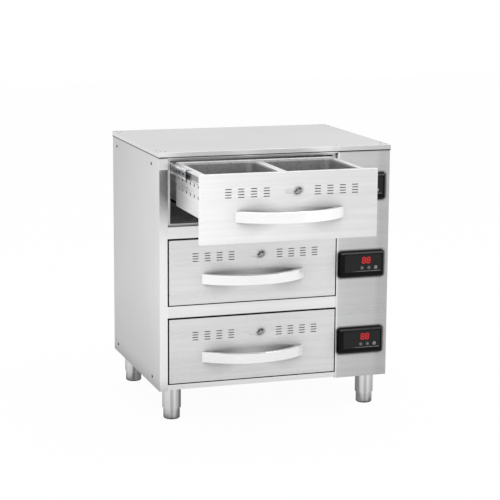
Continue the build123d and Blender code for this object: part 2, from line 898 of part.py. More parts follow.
for bay in bays:
    top = bezel_top(bay)
    window_x = (bezel_left + window_left, bezel_left + window_left + window_width)
    window_z = (top - window_top - window_height, top - window_top)
    with BuildPart() as controller:
        slab((bezel_left, bezel_right), (front - bezel_reach, front), (top - bezel_height, top))
        chamfer(controller.faces().sort_by(Axis.Y)[0].edges(), bezel_bevel)
        slab(window_x, (front - bezel_reach, window_back), window_z, mode=Mode.SUBTRACT)
        housing_in = cutout_margin + cutout_play
        slab(
            (bezel_left + housing_in, bezel_right - housing_in),
            (front, front + housing_depth),
            (top - bezel_height + housing_in, top - housing_in),
        )
        with BuildSketch(seen_from_front(window_back)):
            with Locations(*button_centres(bay)):
                Circle(button_radius + button_flange + button_play)
        extrude(amount=-(pocket_back - window_back), mode=Mode.SUBTRACT)
    controller.part.label = f"controller_{bay}"
    export_step(controller.part, f"parts/controller_{bay}.step")

with BuildPart() as display_windows:
    for bay in bays:
        window_x = bezel_left + window_left
        window_z = bezel_top(bay) - window_top - window_height
        slab(
            (window_x + window_play, window_x + window_width - window_play),
            (window_face, window_back),
            (window_z + window_play, window_z + window_height - window_play),
        )
        with BuildSketch(seen_from_front(window_face)):
            with Locations(*button_centres(bay)):
                Circle(button_radius + button_play)
        extrude(amount=-window_sheet, mode=Mode.SUBTRACT)
display_windows.part.label = "display_windows"
export_step(display_windows.part, "parts/display_windows.step")

for bay in bays:
    for centre, name in zip(button_centres(bay), button_names):
        with BuildPart() as button:
            with BuildSketch(seen_from_front(window_back + window_play)):
                with Locations(centre):
                    Circle(button_radius)
            extrude(amount=window_sheet + window_play + button_reach)
            chamfer(button.faces().sort_by(Axis.Y)[0].edges(), button_edge)
            with BuildSketch(seen_from_front(window_back + window_play)):
                with Locations(centre):
                    Circle(button_radius + button_flange)
            extrude(amount=-button_flange_sheet)
        button.part.label = f"button_{name}_{bay}"
        export_step(button.part, f"parts/button_{name}_{bay}.step")

# Legs: four tubes under the base, each with a square plate, and a plug that a foot screws into
leg_inset = sheet + leg_side_margin + leg_plate / 2
leg_front = lip_front + leg_front_margin + leg_plate / 2
leg_places = {
    "front_left": (left + leg_inset, leg_front),
    "front_right": (right - leg_inset, leg_front),
    "rear_left": (left + leg_inset, back - leg_inset),
    "rear_right": (right - leg_inset, back - leg_inset),
}
tube_bottom = foot_height + foot_play
plate_top = base_top - sheet
with BuildPart() as leg_tubes:
    with BuildSketch(Plane.XY.offset(tube_bottom)):
        with Locations(*leg_places.values()):
            Circle(tube_radius)
    extrude(amount=plate_top - tube_bottom)
    with BuildSketch(Plane.XY.offset(plate_top - leg_plate_sheet)):
        with Locations(*leg_places.values()):
            Rectangle(leg_plate, leg_plate)
    extrude(amount=leg_plate_sheet)
    with BuildSketch(Plane.XY.offset(tube_bottom + plug_height)):
        with Locations(*leg_places.values()):
            Circle(tube_radius - tube_sheet)
    extrude(amount=plate_top - leg_plate_sheet - tube_bottom - plug_height, mode=Mode.SUBTRACT)
    with BuildSketch(Plane.XY.offset(tube_bottom)):
        with Locations(*leg_places.values()):
            Circle(stud_radius + stud_play)
    extrude(amount=plug_height, mode=Mode.SUBTRACT)
leg_tubes.part.label = "leg_tubes"
export_step(leg_tubes.part, "parts/leg_tubes.step")

for place, centre in leg_places.items():
    with BuildPart() as foot:
        with BuildSketch(Plane.XY):
            with Locations(centre):
                Circle(foot_radius)
        extrude(amount=foot_height)
        rims = foot.edges().filter_by(GeomType.CIRCLE)
        chamfer(rims.group_by(Axis.Z)[0], foot_edge)
        with BuildSketch(Plane.XY.offset(foot_height)):
            with Locations(centre):
                Circle(stud_radius)
        extrude(amount=stud_length)
    foot.part.label = f"foot_{place}"
    export_step(foot.part, f"parts/foot_{place}.step")

# Cable gland on the back, open, and the terminal block inside
with BuildPart() as cable_gland:
    with BuildSketch(seen_from_front(back)):
        with Locations((gland_x, gland_z)):
            RegularPolygon(gland_radius, 6)
    extrude(amount=-gland_nut)
    with BuildSketch(seen_from_front(back + gland_nut)):
        with Locations((gland_x, gland_z)):
            Circle(gland_thread)
    extrude(amount=-(rear_reach - gland_nut))
    chamfer(cable_gland.faces().sort_by(Axis.Y)[-1].edges(), gland_edge)
    with BuildSketch(seen_from_front(back)):
        with Locations((gland_x, gland_z)):
            Circle(gland_thread - insulation_play)
    extrude(amount=sheet + gland_nut)
    with BuildSketch(seen_from_front(back - sheet - gland_nut)):
        with Locations((gland_x, gland_z)):
            Circle(gland_bore)
    extrude(amount=-(sheet + gland_nut + rear_reach), mode=Mode.SUBTRACT)
cable_gland.part.label = "cable_gland"
export_step(cable_gland.part, "parts/cable_gland.step")

terminal_z = gland_z + gland_radius + terminal_height
with BuildPart() as terminal_block:
    slab(
        (gland_x - terminal_width / 2, gland_x + terminal_width / 2),
        (back - sheet - terminal_depth, back - sheet),
        (terminal_z, terminal_z + terminal_height),
    )
    with BuildSketch(seen_from_front(back - sheet - terminal_depth)):
        with Locations((gland_x, terminal_z + terminal_height / 2)):
            with GridLocations(terminal_pitch, 1, terminal_ways, 1):
                Circle(terminal_screw)
    extrude(amount=-terminal_screw_depth, mode=Mode.SUBTRACT)
terminal_block.part.label = "terminal_block"
export_step(terminal_block.part, "parts/terminal_block.step")

# Cover screws: countersunk ones in the top cover and four with raised heads in each side
with BuildPart() as cover_screws:
    with BuildSketch(Plane.XY.offset(lid_top)):
        with Locations(*lid_screws):
            Circle(screw_radius - screw_play)
    extrude(amount=-sheet, taper=screw_taper)
    for x, inward in [(left, 1), (right, -1)]:
        with BuildSketch(Plane.YZ.offset(x)):
            for y in (front + side_screw_front, back - side_screw_back):
                for z in (bottom + side_screw_end, body_top - side_screw_end):
                    with Locations((y, z)):
                        Circle(screw_radius)
        extrude(amount=-inward * screw_head)
cover_screws.part.label = "cover_screws"
export_step(cover_screws.part, "parts/cover_screws.step")
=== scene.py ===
import json
import math

import bmesh
import bpy
from mathutils import Matrix, Vector


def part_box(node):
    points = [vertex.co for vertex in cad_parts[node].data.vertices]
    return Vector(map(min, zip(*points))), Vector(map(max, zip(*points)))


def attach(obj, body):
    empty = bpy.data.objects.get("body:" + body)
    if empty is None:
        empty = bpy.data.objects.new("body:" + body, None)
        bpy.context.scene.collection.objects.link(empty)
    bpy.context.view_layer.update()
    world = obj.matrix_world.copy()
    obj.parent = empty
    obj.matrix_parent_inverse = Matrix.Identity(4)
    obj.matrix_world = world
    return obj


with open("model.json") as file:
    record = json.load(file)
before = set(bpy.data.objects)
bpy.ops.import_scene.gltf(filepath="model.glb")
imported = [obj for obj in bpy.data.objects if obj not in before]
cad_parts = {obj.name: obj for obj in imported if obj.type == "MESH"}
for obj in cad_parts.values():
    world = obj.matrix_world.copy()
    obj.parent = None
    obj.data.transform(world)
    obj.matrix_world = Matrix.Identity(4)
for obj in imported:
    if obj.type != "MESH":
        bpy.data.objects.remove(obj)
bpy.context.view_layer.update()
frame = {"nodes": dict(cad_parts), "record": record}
nodes = frame["nodes"]
slots = {part["node"]: part["material_slot"] for part in frame["record"]["subparts"]}
scene = bpy.context.scene
scene.view_settings.view_transform = "Standard"

# Lengths are in metres. Drawers and their controllers are counted from the top.
bays = (1, 2, 3)
shut_bays = (2, 3)

# The share of a surface normal along an axis from which a face counts as facing that way
facing = 0.9

# A colour Mix node's sockets, by number because those for other data have the same names
mix_factor, mix_first, mix_second, mix_result = 0, 6, 7, 2

# The range in which most of a noise lies
noise_low, noise_high = 0.3, 0.7

# Noise scales per metre in brushed steel, along the grain and across it
scratch_scales = (14.0, 1500.0)
streak_scales = (1.5, 70.0)
cloud_scale = 3.0
scratch_depth = 0.00015


# Shader nodes

def node(made, kind, inputs=None, **properties):
    """
    Adds a node with its properties. The inputs are sockets, by name or number, with what
    each gets: another node's output or a constant.
    """
    added = made.node_tree.nodes.new(kind)
    for name, value in properties.items():
        setattr(added, name, value)
    for socket, value in (inputs or {}).items():
        if isinstance(value, bpy.types.NodeSocket):
            made.node_tree.links.new(value, added.inputs[socket])
        else:
            added.inputs[socket].default_value = value
    return added


def calculated(made, operation, first, second):
    """The result of a maths node on two values."""
    return node(made, "ShaderNodeMath", {0: first, 1: second}, operation=operation).outputs[0]


def vector_step(made, operation, first, second=(0.0, 0.0, 0.0)):
    """A maths node on two vectors."""
    return node(made, "ShaderNodeVectorMath", {0: first, 1: second}, operation=operation)


def merged(made, operation, masks):
    """One mask from several: MAXIMUM is 1 where any is, MINIMUM where all are."""
    result = masks[0]
    for mask in masks[1:]:
        result = calculated(made, operation, result, mask)
    return result


def mixed(made, factor, first, second, blend="MIX"):
    """A colour mixed from two by a factor, plainly or with another way to blend."""
    mix = node(
        made, "ShaderNodeMix", {mix_factor: factor, mix_first: first, mix_second: second},
        data_type="RGBA", blend_type=blend,
    )
    return mix.outputs[mix_result]


def remapped(made, value, start, end, low, high):
    """A value that goes from low to high while another goes from start to end."""
    mapped = node(made, "ShaderNodeMapRange", {
        "Value": value, "From Min": start, "From Max": end, "To Min": low, "To Max": high,
    })
    return mapped.outputs["Result"]


def ramped(made, value, bands):
    """Grey tones that follow a value, given as (value, tone) in rising order."""
    first, last = bands[0][0], bands[-1][0]
    ramp = node(made, "ShaderNodeValToRGB", {
        "Fac": remapped(made, value, first, last, 0.0, 1.0),
    })
    stops = ramp.color_ramp.elements
    while len(stops) < len(bands):
        stops.new(0.5)
    for stop, (at, tone) in zip(stops, bands):
        stop.position = (at - first) / (last - first)
        stop.color = (tone, tone, tone, 1.0)
    return ramp.outputs["Color"]


def along(made, axis, kind="Object"):
    """One axis of the part's own position, or of its Normal or another coordinate."""
    place = node(made, "ShaderNodeTexCoord")
    return node(made, "ShaderNodeSeparateXYZ", {0: place.outputs[kind]}).outputs[axis]


def above(made, axis, limit, kind="Object"):
    """A mask that is 1 where a coordinate is more than the limit."""
    return calculated(made, "GREATER_THAN", along(made, axis, kind), limit)


def below(made, axis, limit, kind="Object"):
    """A mask that is 1 where a coordinate is less than the limit."""
    return calculated(made, "LESS_THAN", along(made, axis, kind), limit)


def within(made, axis, low, high):
    """A mask that is 1 where the part's own position lies between low and high."""
    inside = node(
        made, "ShaderNodeMath",
        {0: along(made, axis), 1: (low + high) / 2, 2: (high - low) / 2},
        operation="COMPARE",
    )
    return inside.outputs[0]


# Materials

def opaque(colour):
    return (*colour, 1.0)


def bluish(level):
    """A steel's colour: a grey with a trace of blue."""
    return (level, level, level + 0.005)


def shaded(colour, factor):
    """A colour made darker or lighter, at most to white."""
    return tuple(min(1.0, channel * factor) for channel in colour)


def main_shader(made):
    return made.node_tree.nodes["Principled BSDF"]


def feed(made, socket, source):
    """Lets another node's output drive an input of a material's main shader."""
    made.node_tree.links.new(source, main_shader(made).inputs[socket])


def new_material(name, colour, metallic, roughness, specular=0.5):
    """A node material with its main shader set."""
    made = bpy.data.materials.new(name)
    made.use_nodes = True
    settings = {
        "Base Color": opaque(colour), "Metallic": metallic, "Roughness": roughness,
        "Specular IOR Level": specular,
    }
    for socket, value in settings.items():
        main_shader(made).inputs[socket].default_value = value
    return made


def stretched_noise(made, scale, detail):
    """Noise in the part's own coordinates, with a scale per metre along X, Y and Z."""
    place = node(made, "ShaderNodeTexCoord")
    mapping = node(made, "ShaderNodeMapping", {
        "Vector": place.outputs["Object"], "Scale": scale,
    })
    noise = node(made, "ShaderNodeTexNoise", {
        "Vector": mapping.outputs["Vector"], "Scale": 1.0, "Detail": detail,
        "Roughness": 0.55,
    })
    return noise.outputs["Fac"]


def ranged(made, noise, low, high):
    """A value that a noise carries from low to high."""
    return remapped(made, noise, noise_low, noise_high, low, high)


def clouded(made, noise, first, second):
    """A colour that a noise carries from the first to the second."""
    return mixed(made, ranged(made, noise, 0.0, 1.0), opaque(first), opaque(second))


def raised(made, height, strength, depth):
    """Surface normals that follow a noise as a relief."""
    bump = node(made, "ShaderNodeBump", {
        "Height": height, "Strength": strength, "Distance": depth,
    })
    return bump.outputs["Normal"]


def grained(grain, scales):
    """A noise's scale on each axis, from those along the grain and across it."""
    lengthwise, across = scales
    return tuple(lengthwise if axis == grain else across for axis in "xyz")


def steel(name, colour, roughness, grain, contrast=0.05, bump=0.12, cloud=0.04,
          metallic=0.8):
    """Brushed sheet: fine scratches along one axis, wider streaks and soft cloudiness."""
    made = new_material(name, colour, metallic, roughness)
    scratches = stretched_noise(made, grained(grain, scratch_scales), detail=2.0)
    streaks = stretched_noise(made, grained(grain, streak_scales), detail=4.0)
    clouds = stretched_noise(made, (cloud_scale,) * 3, detail=2.0)
    tone = clouded(
        made, streaks, shaded(colour, 1 - contrast), shaded(colour, 1 + contrast)
    )
    haze = clouded(made, clouds, (1 - cloud,) * 3, (1 + cloud / 2,) * 3)
    feed(made, "Base Color", mixed(made, 1.0, tone, haze, "MULTIPLY"))
    feed(made, "Roughness", ranged(made, streaks, roughness * 0.85, roughness * 1.15))
    feed(made, "Normal", raised(made, scratches, bump, scratch_depth))
    return made


def grainy(name, colour, metallic, roughness, scale, spread, bump=0.1, depth=0.0002,
           specular=0.5):
    """A finish with an even fine texture, such as moulded plastic, zinc or mineral wool."""
    made = new_material(name, colour, metallic, roughness, specular)
    texture = stretched_noise(made, (scale,) * 3, detail=4.0)
    tone = clouded(made, texture, shaded(colour, 1 - spread), shaded(colour, 1 + spread))
    worn = ranged(made, texture, roughness * 0.85, min(1.0, roughness * 1.2))
    feed(made, "Base Color", tone)
    feed(made, "Roughness", worn)
    feed(made, "Normal", raised(made, texture, bump, depth))
    return made


def glowing(name, colour, strength):
    """A lit display segment with a slightly uneven glow."""
    made = new_material(name, shaded(colour, 0.3), metallic=0.0, roughness=0.4, specular=0.2)
    glow = stretched_noise(made, (400.0,) * 3, detail=1.0)
    feed(made, "Emission Color", clouded(made, glow, shaded(colour, 0.9), colour))
    main_shader(made).inputs["Emission Strength"].default_value = strength
    return made


# Changes to a finish's colour by place, direction or nearness, mostly painted light and shade

def recoloured(made, colour, where, blend):
    """Blends a colour into a finish's own, by the mask called where."""
    plain = main_shader(made).inputs["Base Color"].links[0].from_socket
    feed(made, "Base Color", mixed(made, where, plain, colour, blend))
    return made


def tinted(made, where, colour):
    """Replaces a finish's colour where the mask is 1."""
    return recoloured(made, opaque(colour), where, "MIX")


def toned(made, tone, where=1.0):
    """Multiplies a finish's colour by a tone, everywhere or where a mask is 1."""
    return recoloured(made, tone, where, "MULTIPLY")


def banded(made, axis, bands, kind="Object", where=1.0):
    """
    Multiplies a finish's colour by tones along one axis, given as (value, tone), where the
    value is the part's own position in metres or, for Normal, its surface normal.
    """
    return toned(made, ramped(made, along(made, axis, kind), bands), where)


def shaded_near(made, reach=0.012, floor=0.01, blocked=0.72, free=0.98, spared=None):
    """
    Paints shade into a finish where other pieces stand within reach of it, such as in the seam
    round a shut drawer: to the floor at the blocked share of open sky, and not at all at the
    free share or where the mask called spared is 1.
    """
    nearby = node(made, "ShaderNodeAmbientOcclusion", {"Distance": reach}, samples=8)
    share = remapped(made, nearby.outputs["AO"], blocked, free, floor, 1.0)
    if spared is not None:
        share = calculated(made, "MAXIMUM", share, spared)
    return toned(made, share)


def round_handles(made, margin=0.015):
    """A mask that is 1 on the fronts' faces round the handles, which it keeps free of the
    strong painted seam shade, and 0 at the seams.
    """
    levels = []
    for bay in bays:
        low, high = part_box(f"drawer_handle_{bay}")
        levels.append(within(made, "Z", low.z - margin, high.z + margin))
    across = within(made, "X", low.x - margin, high.x + margin)
    return merged(made, "MINIMUM", [merged(made, "MAXIMUM", levels), across])


def painted_seam_shade(made, rim=0.0018, tone=0.012):
    """
    Paints a strip of shade on the frame's edge above and to the left of the two shut drawers,
    where the photograph shows the seam at its widest.
    """
    seam_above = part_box("cross_rails")[0].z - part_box("drawer_front_3")[1].z
    strips = []
    for bay in shut_bays:
        low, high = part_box(f"drawer_front_{bay}")
        seam_beside = low.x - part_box("side_panel_left")[1].x
        top = high.z + seam_above + rim
        left = within(made, "X", low.x - seam_beside - rim, low.x)
        beside = within(made, "Z", low.z - seam_beside, top)
        over = within(made, "Z", high.z, top)
        across = within(made, "X", low.x - seam_beside, high.x + seam_beside)
        strips.append(merged(made, "MINIMUM", [left, beside]))
        strips.append(merged(made, "MINIMUM", [over, across]))
    # Painted shade: a near-black strip along these edges of the frame
    return tinted(made, merged(made, "MAXIMUM", strips), (tone,) * 3)


# Finishes whose tone changes over a piece, mostly by painted light and shade

def liner_finish(name, inside, lip):
    """Chamber steel, with painted light and shade on the lip behind the drawer front, in the
    tone given as lip.
    """
    made = steel(name, (inside,) * 3, 0.42, "x", contrast=0.12, cloud=0.10)
    lip_sheet = 0.001
    lip_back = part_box("chamber_liner_1")[0].y + lip_sheet
    # The painted tone on the lip, the chamber's front millimetre of sheet
    return tinted(made, below(made, "Y", lip_back), (lip,) * 3)


def cover_finish(name):
    """Cover steel, with painted light on its left and front faces, painted light and shade
    along the front rim, and a painted shadow line along the rim's hanging edge.
    """
    made = steel(name, bluish(0.62), 0.34, "x", metallic=0.65)
    # Painted light on the left face and the front face
    tinted(made, below(made, "X", -facing, "Normal"), (0.74, 0.74, 0.74))
    front = below(made, "Y", -facing, "Normal")
    tinted(made, front, (0.96, 0.96, 0.96))
    low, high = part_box("top_cover")
    # Painted light and shade along the front rim, brightest at the left
    rim_light_and_shade = [(low.x, 1.0), (low.x + 0.54, 0.96), (low.x + 0.64, 0.66), (high.x, 0.56)]
    banded(made, "X", rim_light_and_shade, where=front)
    # A painted shadow line along the rim's hanging edge
    shadow_line_height = 0.0028
    return tinted(made, below(made, "Z", low.z + shadow_line_height), (0.02, 0.02, 0.02))


def shutter_finish(name, shutter):
    """Shutter steel, with a dark knob before the plate and a paler face on the knob."""
    made = steel(name, bluish(0.74), 0.30, "x", contrast=0.02, bump=0.05)
    knob_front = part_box(shutter)[0].y
    knob_length, face_depth = 0.008, 0.0005
    tinted(made, below(made, "Y", knob_front + knob_length), (0.022, 0.022, 0.023))
    return tinted(made, below(made, "Y", knob_front + face_depth), bluish(0.36))


def side_finish(name):
    """Side steel, with painted light and shade that make it a little lighter towards the front
    and darker towards the back.
    """
    made = steel(name, bluish(0.63), 0.34, "z")
    low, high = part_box("side_panel_left")
    # Painted light and shade from front to back
    return banded(made, "Y", [(low.y, 1.15), (low.y + 0.15, 1.05), (high.y, 0.84)])


def post_finish(name):
    """
    Side steel, with painted light where the sheet folds round to the front as a post, and
    painted shade there beside a drawer that stands open.
    """
    made = side_finish(name)
    # Painted light on the post's front face
    tinted(made, below(made, "Y", -facing, "Normal"), (0.92, 0.92, 0.92))
    # Painted shade beside an open drawer, kept off the top of the post
    clear_height = 0.055
    clear = above(made, "Z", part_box("side_panel_left")[1].z - clear_height)
    return shaded_near(made, reach=0.16, floor=0.12, blocked=0.70, free=0.99, spared=clear)


def slide_finish(name, channels):
    """Zinc-plated channel, with painted shade on the web between its bright edges."""
    made = grainy(name, (0.86, 0.87, 0.89), 0.8, 0.26, scale=260.0, spread=0.05)
    low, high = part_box(channels)
    level, half_web = (low.z + high.z) / 2, 0.0095
    # Painted shade on the web
    web = within(made, "Z", level - half_web, level + half_web)
    return tinted(made, web, (0.30, 0.30, 0.31))


def pan_finish(name, pans):
    """Drawn pan steel: darker walls, a bright rim and painted shade on the outsides by the
    drawer's sides.
    """
    made = steel(name, bluish(0.42), 0.30, "y", contrast=0.02, bump=0.02)
    low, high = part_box(pans)
    rim_height, near_middle = 0.006, 0.1
    tinted(made, above(made, "Z", high.z - rim_height), bluish(0.86))
    # Painted shade on the outer walls by the drawer's sides
    offset = calculated(made, "SUBTRACT", along(made, "X"), (low.x + high.x) / 2)
    outward = calculated(made, "MULTIPLY", offset, along(made, "X", "Normal"))
    outside = calculated(made, "GREATER_THAN", outward, near_middle)
    return tinted(made, outside, (0.02, 0.02, 0.02))


def leg_finish(name):
    """Polished tube, with painted reflections in lighter and darker bands round it, and painted
    shade on its foot.
    """
    made = steel(name, bluish(0.92), 0.17, "z", contrast=0.04, bump=0.04, metallic=1.0)
    # Painted reflections, by the way the surface faces
    banded(made, "X", [
        (-1.0, 0.76), (-0.93, 0.78), (-0.86, 0.92), (-0.45, 0.98), (-0.36, 0.64),
        (-0.12, 0.64), (-0.03, 0.98), (0.15, 0.94), (0.29, 0.74), (0.44, 0.70),
        (0.56, 0.60), (1.0, 0.60),
    ], "Normal")
    # Painted shade on the foot, darkest in the lowest few millimetres by the floor
    return banded(made, "Z", [
        (0.0, 0.25), (0.0035, 0.30), (0.006, 0.86), (0.030, 0.90), (0.034, 1.0), (0.106, 1.0),
    ])


def open_front_finish(name):
    """Steel of the drawer that stands open, with painted light that makes it brighter towards
    the left.
    """
    made = steel(name, bluish(0.78), 0.30, "x")
    low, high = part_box("drawer_front_1")
    # Painted light, strongest at the left
    return banded(made, "X", [
        (low.x, 1.26), (low.x + 0.12, 1.16), (low.x + 0.30, 1.06), (high.x, 0.98),
    ])


def column_finish(name):
    """Steel of the control column, with a painted highlight on its left edge and painted shade
    towards its right one.
    """
    made = steel(name, bluish(0.56), 0.30, "x")
    low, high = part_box("control_panel")
    # A painted highlight at the left edge and painted shade towards the right
    return banded(made, "X", [
        (low.x, 1.50), (low.x + 0.004, 1.50), (low.x + 0.007, 1.10), (low.x + 0.04, 1.03),
        (high.x - 0.05, 0.96), (high.x - 0.03, 0.84), (high.x, 0.86),
    ])


def bezel_finish(name):
    """Black moulding, with a painted highlight on the bevels that look up."""
    made = grainy(
        name, (0.004, 0.004, 0.0045), 0.0, 0.20, scale=900.0, spread=0.2, bump=0.03,
        depth=0.0001, specular=0.09,
    )
    upwards = 0.25
    # Painted highlight where the surface faces up
    return tinted(made, above(made, "Z", upwards, "Normal"), (0.036, 0.036, 0.037))


# Finishes of the CAD nodes, by material slot and then by node where one has its own

# Rail steel later gets painted shade in the seams and along the frame's edge; the header's
# steel is the same sheet without it
rail_steel = steel("rail steel", bluish(0.86), 0.33, "x")
header_steel = steel("header steel", bluish(0.86), 0.33, "x")
box_steel = steel("drawer box steel", bluish(0.92), 0.30, "y")
open_front = open_front_finish("open drawer front steel")
post_steel = post_finish("post steel")
nylon_black = grainy(
    "black nylon", (0.012, 0.012, 0.012), 0.0, 0.5, scale=1500.0, spread=0.2, specular=0.2
)
finishes = {
    "brushed_stainless": column_finish("column steel"),
    "side_stainless": side_finish("side steel"),
    "lid_stainless": cover_finish("lid steel"),
    "drawer_stainless": steel("drawer front steel", bluish(0.76), 0.30, "x"),
    # Painted shade on the lips of the chambers behind the shut drawers
    "liner_steel": liner_finish("chamber steel", inside=0.60, lip=0.10),
    "polished_steel": steel(
        "handle steel", bluish(0.98), 0.22, "x", contrast=0.02, bump=0.05
    ),
    "zinc_slide": grainy(
        "zinc plate", (0.76, 0.77, 0.79), 0.9, 0.28, scale=260.0, spread=0.06
    ),
    "element_sheath": grainy(
        "heating element", (0.10, 0.09, 0.085), 0.6, 0.5, scale=500.0, spread=0.3
    ),
    "bezel_black": bezel_finish("black moulding"),
    "window_black": grainy(
        "smoked window", (0.017, 0.017, 0.018), 0.0, 0.12, scale=200.0, spread=0.08,
        bump=0.01, depth=0.0001, specular=0.14,
    ),
    "button_grey": grainy(
        "button grey", (0.10, 0.10, 0.102), 0.0, 0.5, scale=1200.0, spread=0.1,
        specular=0.2,
    ),
    "mineral_wool": grainy(
        "mineral wool", (0.55, 0.48, 0.33), 0.0, 0.95, scale=700.0, spread=0.35, bump=0.8,
        depth=0.002,
    ),
    "nylon_black": nylon_black,
    "terminal_grey": grainy(
        "terminal grey", (0.55, 0.55, 0.54), 0.0, 0.5, scale=1500.0, spread=0.1
    ),
    "leg_steel": leg_finish("leg steel"),
    "screw_steel": grainy(
        "screw steel", (0.025, 0.025, 0.026), 0.3, 0.5, scale=900.0, spread=0.1,
        specular=0.2,
    ),
}
own_finish = {
    "drawer_front_1": open_front,
    # Painted light on the first chamber's lip, behind the drawer that stands open
    "chamber_liner_1": liner_finish("first chamber steel", inside=0.60, lip=0.70),
    "header_rail": header_steel,
    "cross_rails": rail_steel,
    "bottom_rail": rail_steel,
    "side_panel_left": post_steel,
}
for bay in bays:
    slide_steel = slide_finish(f"slide steel {bay}", f"slide_middle_{bay}")
    own_finish |= {
        f"vent_shutter_{bay}": shutter_finish(f"shutter steel {bay}", f"vent_shutter_{bay}"),
        f"drawer_box_{bay}": box_steel,
        f"pans_{bay}": pan_finish(f"pan steel {bay}", f"pans_{bay}"),
        f"slide_middle_{bay}": slide_steel,
        f"slide_inner_{bay}": slide_steel,
    }

# Painted shade in the seams, soft painted shade round the handles, and then a finish for every
# node
for finish in (
    finishes["brushed_stainless"], finishes["liner_steel"], rail_steel, post_steel,
):
    shaded_near(finish)
# On the drawer fronts the seam shade spares the faces round the handles, which get a softer,
# wider painted shade
for finish in (finishes["drawer_stainless"], open_front):
    shaded_near(finish, spared=round_handles(finish))
    shaded_near(finish, reach=0.055, floor=0.38, blocked=0.50, free=1.0)
# A painted strip of shade on the frame's edge beside the shut drawers
for finish in (rail_steel, post_steel):
    painted_seam_shade(finish)
for name, piece in nodes.items():
    finish = own_finish[name] if name in own_finish else finishes[slots[name]]
    if not piece.material_slots:
        piece.data.materials.append(finish)
    for place in piece.material_slots:
        place.material = finish


# Pieces that the render adds

def flat_piece(name, outlines, depth, finish, body, softened=0.0):
    """
    Shapes in the XZ plane, given as (points, front y), made into one thin piece of some
    depth that rides on a body. Its edges are softened where that is more than 0.
    """
    mesh = bmesh.new()
    for points, front in outlines:
        near = [mesh.verts.new((x, front, z)) for x, z in points]
        far = [mesh.verts.new((x, front + depth, z)) for x, z in points]
        mesh.faces.new(near)
        mesh.faces.new(list(reversed(far)))
        for i in range(len(points)):
            j = (i + 1) % len(points)
            mesh.faces.new((near[j], near[i], far[i], far[j]))
    bmesh.ops.recalc_face_normals(mesh, faces=mesh.faces)
    if softened:
        bmesh.ops.bevel(
            mesh, geom=mesh.edges, offset=softened, segments=1, affect="EDGES",
            profile=0.5, clamp_overlap=True,
        )
    data = bpy.data.meshes.new(name)
    mesh.to_mesh(data)
    mesh.free()
    data.materials.append(finish)
    piece = bpy.data.objects.new(name, data)
    scene.collection.objects.link(piece)
    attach(piece, body)


def segment(start, end, width, lean):
    """One bar of a digit, from start to end, with pointed ends."""
    (x0, z0), (x1, z1) = start, end
    length = math.hypot(x1 - x0, z1 - z0)
    ux, uz = (x1 - x0) / length, (z1 - z0) / length
    half = width / 2
    gap = width * 0.08
    points = [
        (gap, 0.0), (half + gap, -half), (length - half - gap, -half),
        (length - gap, 0.0), (length - half - gap, half), (half + gap, half),
    ]
    placed = [(x0 + ux * a - uz * b, z0 + uz * a + ux * b) for a, b in points]
    return [(x + lean * z, z) for x, z in placed]


def eight(left, low, width, height, bar, lean):
    """The seven bars of a lit figure 8, with its lower left corner at (left, low)."""
    right, middle, high = width, height / 2, height
    ends = [
        ((0, high), (right, high)), ((0, middle), (right, middle)), ((0, 0), (right, 0)),
        ((0, middle), (0, high)), ((right, middle), (right, high)),
        ((0, 0), (0, middle)), ((right, 0), (right, middle)),
    ]
    bars = [segment(start, end, bar, lean) for start, end in ends]
    return [[(x + left, z + low) for x, z in points] for points in bars]


def arrow(centre_x, centre_z, size, way):
    """A small open arrowhead, as a bent bar that points up for way 1 or down for -1."""
    points = [
        (-1.0, -0.45), (0.0, 0.75), (1.0, -0.45), (0.52, -0.45), (0.0, 0.12), (-0.52, -0.45),
    ]
    return [(centre_x + size * x, centre_z + way * size * z) for x, z in points]


def ring(centre_x, centre_z, inner, outer, count=20):
    """A ring in the XZ plane, as short bars that meet."""
    bars = []
    for i in range(count):
        a, b = 2 * math.pi * i / count, 2 * math.pi * (i + 1) / count
        bars.append([
            (centre_x + radius * math.cos(angle), centre_z + radius * math.sin(angle))
            for radius, angle in ((inner, a), (outer, a), (outer, b), (inner, b))
        ])
    return bars


# Lit digits on each window, and the line printed below them. The drops count down from the
# top of the bezel or the window, and the lefts from the window's left edge.
digit_red = glowing("lit digits", (0.62, 0.018, 0.022), strength=1.0)
print_grey = grainy("printed line", (0.30, 0.30, 0.31), 0.0, 0.5, scale=900.0, spread=0.2)
window_drop = 0.008
digit_width, digit_height, digit_bar, digit_lean = 0.0105, 0.0188, 0.0036, 0.06
digit_lefts = (0.0630, 0.0792)
digit_drop, line_drop = 0.0290, 0.0565
digit_rise, digit_depth = 0.0003, 0.0005
line_rise, line_depth = 0.0002, 0.0004
line_outline = [
    (0.025, 0.0), (0.060, 0.0005), (0.128, 0.0006), (0.1285, 0.0), (0.128, -0.0006),
    (0.060, -0.0005),
]
window_left, window_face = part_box("display_windows")[0].xy
for bay in bays:
    window_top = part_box(f"controller_{bay}")[1].z - window_drop
    bars = []
    for left in digit_lefts:
        bars += eight(
            window_left + left, window_top - digit_drop, digit_width, digit_height,
            digit_bar, digit_lean,
        )
    flat_piece(
        f"digits_{bay}", [(bar, window_face - digit_rise) for bar in bars], digit_depth,
        digit_red, "cabinet",
    )
    line = [(window_left + x, window_top - line_drop + z) for x, z in line_outline]
    flat_piece(
        f"window_line_{bay}", [(line, window_face - line_rise)], line_depth, print_grey,
        "cabinet",
    )

